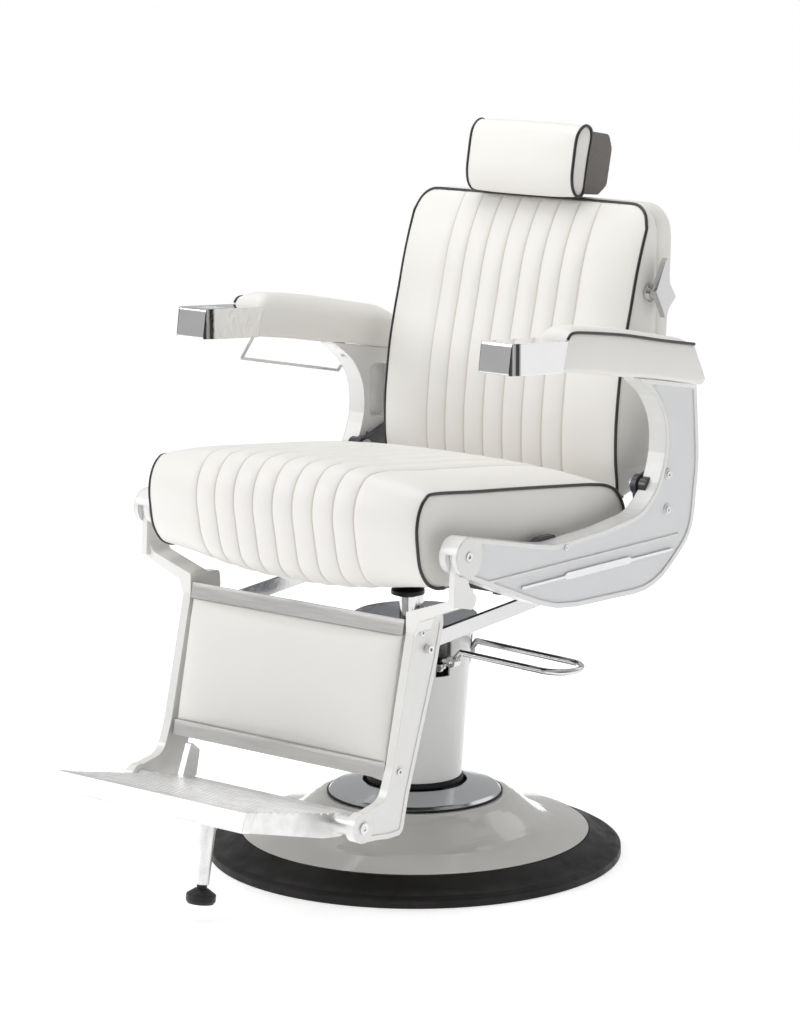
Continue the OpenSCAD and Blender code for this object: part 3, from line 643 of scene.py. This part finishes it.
def build_seat():
    seams = np.arange(-160, 161, SEAM_GAP)
    xs = stations(SEAT_HALF, seams, 11)
    upper = spline(SEAT_PIPE, 170)
    below = np.concatenate([np.linspace(180, -226, 24), np.linspace(-230, -260, 12)])
    under = np.array([[y, SEAT_UNDER] for y in below])
    loop = np.concatenate([upper, under])
    n = len(loop)
    normal = outward(loop)
    # crown: how far the middle of the panel stands out from the piping
    y, z = loop[:, 0], loop[:, 1]
    top = smooth_step((normal[:, 1] + 0.2) / 0.9) * (28 - 13 * smooth_step((y - 20) / 170))
    top = top * (1 - 0.8 * smooth_step((normal[:, 0] - 0.25) / 0.45))
    front = smooth_step((-normal[:, 0] - 0.1) / 0.8) * 17
    rear = smooth_step((normal[:, 0] - 0.2) / 0.6) * 3 * smooth_step((z - SEAT_UNDER) / 40)
    crown = soften(np.maximum(np.maximum(top, front), rear), 12) * smooth_step((z - SEAT_UNDER + 1) / 10)
    droop = soften(smooth_step((0.1 - normal[:, 1]) / 0.8) * 24 * smooth_step((-236 - y) / 26), 3)
    pleat = np.maximum(smooth_step((z - SEAT_UNDER) / 10), smooth_step((-232 - y) / 20))
    pleat = pleat * smooth_step((196 - y) / 60)
    rise, line = groove(xs, seams)
    t = np.abs(xs) / SEAT_HALF
    across = np.power(np.clip(1 - np.power(t, 2.7), 0, 1), 0.72)
    hang = np.power(np.clip(1 - np.power(t, 2.6), 0, 1), 2)
    verts, painted_shade, pins = [], [], []
    for i, x in enumerate(xs):
        out = np.cbrt((crown * across[i]) ** 3 + (droop * hang[i]) ** 3)
        edge_fade = smooth_step((SEAT_HALF - abs(x)) / 30)
        out = out - pleat * 4.2 * (1 - rise[i]) * edge_fade
        for j in range(n):
            p = loop[j] + normal[j] * out[j]
            verts.append((x, p[0], p[1]))
            # painted shade along each pleat seam
            painted_shade.append(line[i] * pleat[j] * edge_fade)
            on_board = loop[j][1] < SEAT_UNDER + 1 and loop[j][0] > -240
            held = line[i] > 0.9 or abs(x) > SEAT_HALF - 6 or on_board or out[j] < 0.3
            pins.append(1.0 if held else 0.0)
    faces = grid_faces(len(xs), n, closed_cols=True)
    # side panels inside the piping
    centre = np.array([-60.0, 580.0])
    side_bulge = 3.4
    for side, row in ((-1, 0), (1, len(xs) - 1)):
        previous = [row * n + j for j in range(n)]
        for k, s in enumerate((0.985, 0.955, 0.90, 0.80, 0.66, 0.48, 0.28)):
            ring = []
            for j in range(n):
                p = centre + (loop[j] - centre) * s
                depth = side_bulge * (1 - s ** 3) - (2.2 if k == 0 else 0.0)
                ring.append(len(verts))
                verts.append((side * (SEAT_HALF + depth), p[0], p[1]))
                # painted shade on the first ring inside the side piping
                painted_shade.append(0.55 if k == 0 else 0.0)
                pins.append(1.0)
            stitch(faces, previous, ring)
            previous = ring
        hub = len(verts)
        verts.append((side * (SEAT_HALF + side_bulge), centre[0], centre[1]))
        painted_shade.append(0.0)
        pins.append(1.0)
        fan(faces, previous, hub)
    seat = make("seat_cover", verts, faces, WHITE, {"painted_shade": painted_shade})
    inflate(seat, np.array(pins), 3.0, 5.0)
    put(seat, "seat", "hide", "seat_cushion")
    for side, word in ((-1, "right"), (1, "left")):
        line = spline(SEAT_PIPE, 260)
        rows = np.stack([np.full(len(line), side * (SEAT_HALF + 0.2)), line[:, 0], line[:, 1]], 1)
        put(tube(f"seat_piping_{word}", rows, PIPING_RADIUS, PIPING), "seat", "hide")


build_seat()


# ------------------------------------------------------------------ back

BACK_HALF = 240.0
BACK_FRONT = [(219, 571), (217, 606), (213, 640), (213, 690), (218, 740), (226, 790), (238, 840), (250, 882),
              (262, 926), (276, 968), (291, 1006), (300, 1028), (305, 1041)]
BACK_TOP_Z = 1041.0
BACK_CORNER = 36.0
BACK_TOE = 14.0
BACK_BOTTOM = 571.6
BACK_REAR = 317.8
BACK_MIDDLE_Z = 820
BACK_CURVE = spline(BACK_FRONT, 120)


def back_front_y(z):
    return np.interp(z, BACK_CURVE[:, 1], BACK_CURVE[:, 0])


def back_top(x):
    over = np.clip(np.abs(x) - (BACK_HALF - 3 - BACK_CORNER), 0, BACK_CORNER - 0.01)
    return BACK_TOP_Z - (BACK_CORNER - np.sqrt(BACK_CORNER ** 2 - over ** 2))


def build_back():
    seams = np.arange(-140, 141, SEAM_GAP)
    xs = stations(BACK_HALF - 0.4, seams, 13)
    rows = 158
    rise, line = groove(xs, seams)
    verts, painted_shade, pins = [], [], []
    for i, x in enumerate(xs):
        top = float(back_top(np.array([x]))[0])
        low = BACK_BOTTOM + max(0, abs(x) - 232) * 0.8
        zs = low + (top - low) * np.linspace(0, 1, rows) ** 0.97
        edge_x = 1 - (abs(x) / (BACK_HALF - 0.4)) ** 3.0
        edge_x = max(edge_x, 0) ** 0.72
        for j, z in enumerate(zs):
            up = (z - low) / (top - low)
            lift = (1 - up ** 10) ** 0.6 * (0.12 + 0.88 * smooth_step((z - 578) / 36))
            crown = (17.0 + 5.0 * smooth_step((up - 0.55) / 0.35)) * edge_x * lift
            fade = smooth_step((BACK_HALF - abs(x)) / 26) * smooth_step((1 - up) / 0.012)
            fade = fade * smooth_step(up / 0.015 + 0.3)
            depth = crown - 3.6 * (1 - rise[i]) * fade
            under = max(0.0, BACK_TOE - (z - low))
            toe = BACK_TOE - math.sqrt(BACK_TOE ** 2 - under ** 2)
            y = float(back_front_y(z)) - depth + toe
            verts.append((x, y, z))
            # painted shade along each pleat seam
            painted_shade.append(line[i] * fade)
            held = line[i] > 0.9 or i in (0, len(xs) - 1) or j in (0, rows - 1)
            pins.append(1.0 if held else 0.0)
    m = len(xs)
    faces = grid_faces(m, rows)
    # up the right side, over the top, down the left side, back along the bottom
    loop = panel_edge(m, rows)
    previous = loop
    for k, s in enumerate((0.03, 0.12, 0.3, 0.55, 0.8, 1.0)):
        ring = []
        for a in loop:
            x, y, z = verts[a]
            bulge = 2.6 * math.sin(math.pi * min(1, s)) if z > 620 else 0.0
            inset = 1.6 if k == 0 else 0.0
            above = z - BACK_MIDDLE_Z
            length = math.hypot(x, above)
            scale = 1 + (bulge - inset) / max(length, 1)
            ring.append(len(verts))
            tuck = 26 * s * smooth_step((604 - z) / 30)
            wide = min(max(x * scale, -BACK_HALF), BACK_HALF)
            verts.append((wide, y + (BACK_REAR - y) * s, BACK_MIDDLE_Z + above * scale + tuck))
            # painted shade on the first ring behind the piping
            painted_shade.append(0.5 if k == 0 else 0.0)
            pins.append(1.0)
        stitch(faces, previous, ring)
        previous = ring
    hub = len(verts)
    verts.append((0, BACK_REAR, BACK_MIDDLE_Z))
    painted_shade.append(0.0)
    pins.append(1.0)
    fan(faces, previous, hub)
    back = make("back_cover", verts, faces, WHITE, {"painted_shade": painted_shade})
    inflate(back, np.array(pins), 3.0, 4.5)
    put(back, "back", "hide", "back_cushion")
    edge = [verts[a] for a in loop[: rows + m - 1 + rows - 1]]
    edge = even(np.array(edge), 320)
    put(tube("back_piping", edge, PIPING_RADIUS, PIPING), "back", "hide")


def build_back_shell():
    """The upholstered rear of the back: a shallow tray with soft edges."""
    front = 318.4
    half, top, low = 238.4, 1041.5, 600.5
    corner, toe = 36.0, 12
    rim = []

    def add(x, z):
        rim.append((x, z))

    for z in np.linspace(low + toe, top - corner, 26):
        add(-half, z)
    for a in np.linspace(0, math.pi / 2, 12)[1:]:
        add(-half + corner - corner * math.cos(a), top - corner + corner * math.sin(a))
    for x in np.linspace(-half + corner, half - corner, 26)[1:]:
        add(x, top)
    for a in np.linspace(math.pi / 2, 0, 12)[1:]:
        add(half - corner + corner * math.cos(a), top - corner + corner * math.sin(a))
    for z in np.linspace(top - corner, low + toe, 26)[1:]:
        add(half, z)
    for a in np.linspace(0, math.pi / 2, 6)[1:]:
        add(half - toe + toe * math.cos(a), low + toe - toe * math.sin(a))
    for x in np.linspace(half - toe, -half + toe, 26)[1:]:
        add(x, low)
    for a in np.linspace(math.pi / 2, 0, 6)[1:-1]:
        add(-half + toe - toe * math.cos(a), low + toe - toe * math.sin(a))
    rim = np.array(rim)
    centre = np.array([0.0, 815.0])
    n = len(rim)
    away = rim - centre
    away /= np.linalg.norm(away, axis=1)[:, None]
    verts, faces, painted_shade = [], [], []

    def ring(points, ys, c=0.0):
        start = len(verts)
        for p, y in zip(points, ys):
            verts.append((p[0], y, p[1]))
            painted_shade.append(c)
        return list(range(start, start + n))

    def rear_at(z):
        return np.interp(z, [604, 700, 840, 950, 1012, 1042], [347, 353.5, 360.5, 368.5, 369.5, 367])

    # the third ring, at the rim, gets painted shade
    rings = [ring(rim - away * 26, np.full(n, front)), ring(rim - away * 2.0, np.full(n, front)),
             ring(rim, np.full(n, front + 1.6), 0.25)]
    back_y = rear_at(rim[:, 1])
    rings.append(ring(rim, front + (back_y - front) * 0.45))
    r = 15.0 + 12.0 * smooth_step((rim[:, 1] - 985) / 45)
    for a in np.linspace(0, math.pi / 2, 8):
        inward = away * (r * (1 - math.cos(a)))[:, None]
        rings.append(ring(rim - inward, back_y - r + r * math.sin(a)))
    for s in (0.86, 0.7, 0.5, 0.28):
        pts = centre + (rim - away * r[:, None] - centre) * s
        rings.append(ring(pts, rear_at(pts[:, 1]) + 1.6 * (1 - s ** 2)))
    for a, b in zip(rings, rings[1:]):
        stitch(faces, a, b)
    for r, y in ((rings[0], front), (rings[-1], rear_at(815.0) + 1.6)):
        hub = len(verts)
        verts.append((centre[0], y, centre[1]))
        painted_shade.append(0.0)
        fan(faces, r, hub)
    shell = make("back_shell_cover", verts, faces, WHITE, {"painted_shade": painted_shade})
    subdivide(shell)
    put(shell, "back", "hide", "back_shell")


build_back()
build_back_shell()


# ------------------------------------------------------------------ head rest

HEAD_HALF = 108.0
HEAD_LOOP = [(276, 1051), (268, 1063), (266, 1082), (270, 1108), (277, 1140), (286, 1154), (300, 1161),
             (312, 1158), (317, 1147), (307, 1108), (299, 1072), (295, 1053), (286, 1048)]


def build_headrest():
    loop = spline(HEAD_LOOP, 110, closed=True)
    n = len(loop)
    normal = outward(loop)
    centre = loop.mean(0)
    if np.dot(normal[0], loop[0] - centre) < 0:
        normal = -normal
    seen = smooth_step((-normal[:, 0] * 0.9 + 0.35) / 0.9)
    xs = np.concatenate([[-HEAD_HALF], -HEAD_HALF + 14 * (np.linspace(0, 1, 7)[1:] ** 1.5),
                         np.linspace(-92, 92, 31)[1:-1],
                         HEAD_HALF - 14 * (np.linspace(1, 0, 7)[:-1] ** 1.5), [HEAD_HALF]])
    verts, painted_shade, pins = [], [], []
    for x in xs:
        bulge = 5.0 * (1 - (abs(x) / HEAD_HALF) ** 3.2) ** 0.7 if abs(x) < HEAD_HALF else 0.0
        for j in range(n):
            p = loop[j] + normal[j] * bulge * seen[j]
            verts.append((x, p[0], p[1]))
            painted_shade.append(0.0)
            pins.append(1.0 if abs(x) > HEAD_HALF - 2 or seen[j] < 0.05 else 0.0)
    faces = grid_faces(len(xs), n, closed_cols=True)
    for side, row in ((-1, 0), (1, len(xs) - 1)):
        previous = [row * n + j for j in range(n)]
        for k, s in enumerate((0.95, 0.86, 0.7, 0.45)):
            ring = []
            for j in range(n):
                p = centre + (loop[j] - centre) * s
                ring.append(len(verts))
                verts.append((side * (HEAD_HALF - (1.8 if k == 0 else 0) + 1.8 * (1 - s)), p[0], p[1]))
                # painted shade on the first ring inside the piping
                painted_shade.append(0.5 if k == 0 else 0.0)
                pins.append(1.0)
            stitch(faces, previous, ring)
            previous = ring
        hub = len(verts)
        verts.append((side * (HEAD_HALF + 1.0), centre[0], centre[1]))
        painted_shade.append(0.0)
        pins.append(1.0)
        fan(faces, previous, hub)
    head = make("headrest_cover", verts, faces, WHITE, {"painted_shade": painted_shade})
    inflate(head, np.array(pins), 2.5, 2.5, frames=12)
    put(head, "head", "hide", "headrest_cushion")
    for side, word in ((-1, "right"), (1, "left")):
        rows = np.stack([np.full(n, side * (HEAD_HALF - 0.3)), loop[:, 0], loop[:, 1]], 1)
        put(tube(f"headrest_piping_{word}", rows, PIPING_RADIUS, PIPING, closed=True), "head", "hide")


build_headrest()


# ------------------------------------------------------------------ arm pads

PAD_IN, PAD_OUT = 278.5, 341.0
PAD_LOW = [(-61.5, 823), (15, 812), (85, 799.5), (174, 786.5), (277, 766.5), (304, 762), (316, 770)]
PAD_TOP = [(-50, 872), (-38, 880), (0, 877), (97, 863), (197, 844), (283, 829)]


def build_arm_pad(side, word):
    rows = 90
    low = spline(PAD_LOW, rows)
    top = spline(PAD_TOP, rows)
    width = PAD_OUT - PAD_IN
    verts, painted_shade, pins = [], [], []
    section = 0
    for i in range(rows):
        s = i / (rows - 1)
        b, t = low[i], top[i]
        rise = t - b
        height = np.linalg.norm(rise)
        u = rise / height
        nose = smooth_step(s / 0.10)
        tail = smooth_step((1 - s) / 0.06)
        ends = min(nose, tail)
        outline = []
        # outer face, bottom to piping
        for k in np.linspace(0, 1, 9):
            swell = 1.8 * math.sin(math.pi * k) * ends
            outline.append((PAD_OUT + swell - 1.6, k * height))
        # over the top to the inner side
        crest = 9.0 * (0.25 + 0.75 * ends)
        roll = 24.0
        for k in np.linspace(0, 1, 15)[1:]:
            x = PAD_OUT - k * (width - roll)
            outline.append((x, height + crest * math.sin(math.pi * 0.5 * min(1, k / 0.55)) ** 0.9))
        for a in np.linspace(0, math.pi / 2, 12)[1:]:
            x = PAD_IN + roll - roll * math.sin(a)
            z = height + crest - 30 * (1 - math.cos(a))
            outline.append((x, z))
        inner_top = outline[-1][1]
        for k in np.linspace(0, 1, 8)[1:]:
            swell = 1.5 * math.sin(math.pi * k) * ends
            outline.append((PAD_IN - swell, inner_top * (1 - k)))
        underside = len(outline) - 1
        for k in np.linspace(0, 1, 7)[1:-1]:
            outline.append((PAD_IN + width * k, 0))
        section = len(outline)
        for q, (x, h) in enumerate(outline):
            p = b + u * h
            verts.append((side * x, p[0], p[1]))
            painted_shade.append(0.0)
            # the seams: both ends, the two edges of the outer face and all of the underside
            fixed = i in (0, rows - 1) or q in (0, 8) or q >= underside
            pins.append(1.0 if fixed else 0.0)
    faces = grid_faces(rows, section, closed_cols=True)
    for row in (0, rows - 1):
        ring = [row * section + j for j in range(section)]
        centre = np.mean([verts[a] for a in ring], axis=0)
        previous = ring
        for s in (0.9, 0.6, 0.3):
            new = []
            for a in ring:
                p = centre + (np.array(verts[a]) - centre) * s
                push = (6.0 if row else -1.5) * (1 - s ** 2)
                new.append(len(verts))
                verts.append((p[0], p[1] + push * 0.9, p[2]))
                painted_shade.append(0.0)
                pins.append(1.0)
            stitch(faces, previous, new)
            previous = new
        hub = len(verts)
        verts.append((centre[0], centre[1] + (5.4 if row else -1.4), centre[2]))
        painted_shade.append(0.0)
        pins.append(1.0)
        fan(faces, previous, hub)
    pad = make(f"{word}_pad_cover", verts, faces, WHITE, {"painted_shade": painted_shade})
    inflate(pad, np.array(pins), 2.0, 2.0, frames=10)
    put(pad, "seat", "hide", f"{word}_arm_pad")
    rows_line = np.stack([np.full(rows, side * (PAD_OUT - 0.6)), top[:, 0], top[:, 1]], 1)
    put(tube(f"{word}_pad_piping", rows_line, PAD_PIPING_RADIUS, PIPING), "seat", "hide")


build_arm_pad(1, "left")
build_arm_pad(-1, "right")


# ------------------------------------------------------------------ leg rest panel

LEAN = math.radians(12.0)
PANEL_Y, PANEL_Z = -286, 461


def panel(x, out, down):
    """A point on the leg rest panel: out is forward of its face, down is measured from its top edge."""
    y, z = -out, -down
    c, s = math.cos(-LEAN), math.sin(-LEAN)
    return (x, PANEL_Y + y * c - z * s, PANEL_Z + y * s + z * c)


def build_leg_cushion():
    half, top, low = 214.0, 25.0, 218.0
    nx, nz = 90, 48
    verts, pins, painted_shade = [], [], []
    us = np.sin(np.linspace(-1, 1, nx) * math.pi / 2)
    vs = 0.5 + 0.5 * np.sin(np.linspace(-1, 1, nz) * math.pi / 2)
    for u in us:
        for v in vs:
            edge = (1 - abs(u) ** 9) ** 0.5 * (1 - abs(2 * v - 1) ** 5) ** 0.5
            out = -1.0 + 12.0 * edge
            verts.append(panel(half * u, out, top + (low - top) * v))
            pins.append(1.0 if edge < 0.02 else 0.0)
            # painted shade towards the panel's tucked edges
            painted_shade.append(0.35 * (1 - min(1, edge / 0.25)))
    faces = grid_faces(nx, nz)
    loop = panel_edge(nx, nz)
    ring = []
    inward = np.array(panel(0, -1.0, 0)) - np.array(panel(0, 0, 0))
    for a in loop:
        ring.append(len(verts))
        verts.append(tuple(np.array(verts[a]) + inward * 0.1))
        pins.append(1.0)
        # painted shade on the tucked ring round the edge
        painted_shade.append(0.3)
    stitch(faces, loop, ring)
    hub = len(verts)
    verts.append(panel(0, -1.1, (top + low) / 2))
    pins.append(1.0)
    painted_shade.append(0.0)
    fan(faces, ring, hub)
    pad = make("leg_cover", verts, faces, WHITE, {"painted_shade": painted_shade})
    inflate(pad, np.array(pins), 1.2, 1.4, frames=10)
    put(pad, "legrest", "hide", "leg_cushion")


build_leg_cushion()


# ------------------------------------------------------------------ stage

FLOOR_HALF = 70000.0
FLOOR_Z = -0.3
AIM = (0, 0, 0.6)


def build_stage():
    s = Shader("studio_floor", (0.93, 0.93, 0.93), 0.6)
    s.color(s.mix(s.noise(3, 2), (0.92, 0.92, 0.92), (0.94, 0.94, 0.94)))
    s.put("Emission Color", (1, 1, 1, 1))
    s.put("Emission Strength", 0.44)
    steps = np.linspace(-FLOOR_HALF, FLOOR_HALF, 9)
    verts = [(x, y, FLOOR_Z) for x in steps for y in steps]
    make("floor", verts, grid_faces(len(steps), len(steps)), s.mat)


def light(name, at, size, power):
    data = bpy.data.lights.new(name, "AREA")
    data.shape = "SQUARE"
    data.size = size
    data.energy = power
    obj = bpy.data.objects.new(name, data)
    bpy.context.scene.collection.objects.link(obj)
    obj.location = at
    obj.rotation_euler = (Vector(AIM) - Vector(at)).to_track_quat("-Z", "Y").to_euler()


def build_lights():
    world = bpy.data.worlds.new("studio")
    bpy.context.scene.world = world
    world.use_nodes = True
    tree = world.node_tree
    background = tree.nodes["Background"]
    background.inputs["Strength"].default_value = 0.42
    # a soft box all round, with one dark strip of studio that the chrome edges pick up
    coord = tree.nodes.new("ShaderNodeTexCoord")
    turn = tree.nodes.new("ShaderNodeVectorMath")
    turn.operation = "DOT_PRODUCT"
    turn.inputs[1].default_value = (0.905, -0.425, 0.0)
    tree.links.new(coord.outputs["Generated"], turn.inputs[0])
    ramp = tree.nodes.new("ShaderNodeValToRGB")
    grey_ramp(ramp, ((0.0, 1.0), (0.78, 1.0), (0.86, 0.30), (0.90, 0.06), (1.0, 0.04)))
    tree.links.new(turn.outputs["Value"], ramp.inputs[0])
    tree.links.new(ramp.outputs[0], background.inputs["Color"])
    light("key", (-2.8, -3.4, 2.8), 2.2, 48)
    light("top", (-0.4, -0.2, 3.6), 2.6, 42)
    light("back", (1.2, 3.4, 2.4), 2.4, 10)


def build_camera():
    data = bpy.data.cameras.new("camera")
    data.lens = 128.2
    data.sensor_width = 36.0
    data.sensor_fit = "AUTO"
    data.clip_start = 0.1
    data.clip_end = 60.0
    camera = bpy.data.objects.new("camera", data)
    bpy.context.scene.collection.objects.link(camera)
    camera.location = (3.6176, -4.4004, 1.6379)
    aim = Vector((-0.0185, -0.0153, 0.563)) - camera.location
    camera.rotation_euler = aim.to_track_quat("-Z", "Y").to_euler()
    bpy.context.scene.camera = camera


build_stage()
build_lights()
build_camera()
view = bpy.context.scene.view_settings
view.view_transform = "Standard"
view.look = "None"
view.exposure = 0.28
view.gamma = 1.0


def plain(box):
    return [[float(v) for v in corner] for corner in box]
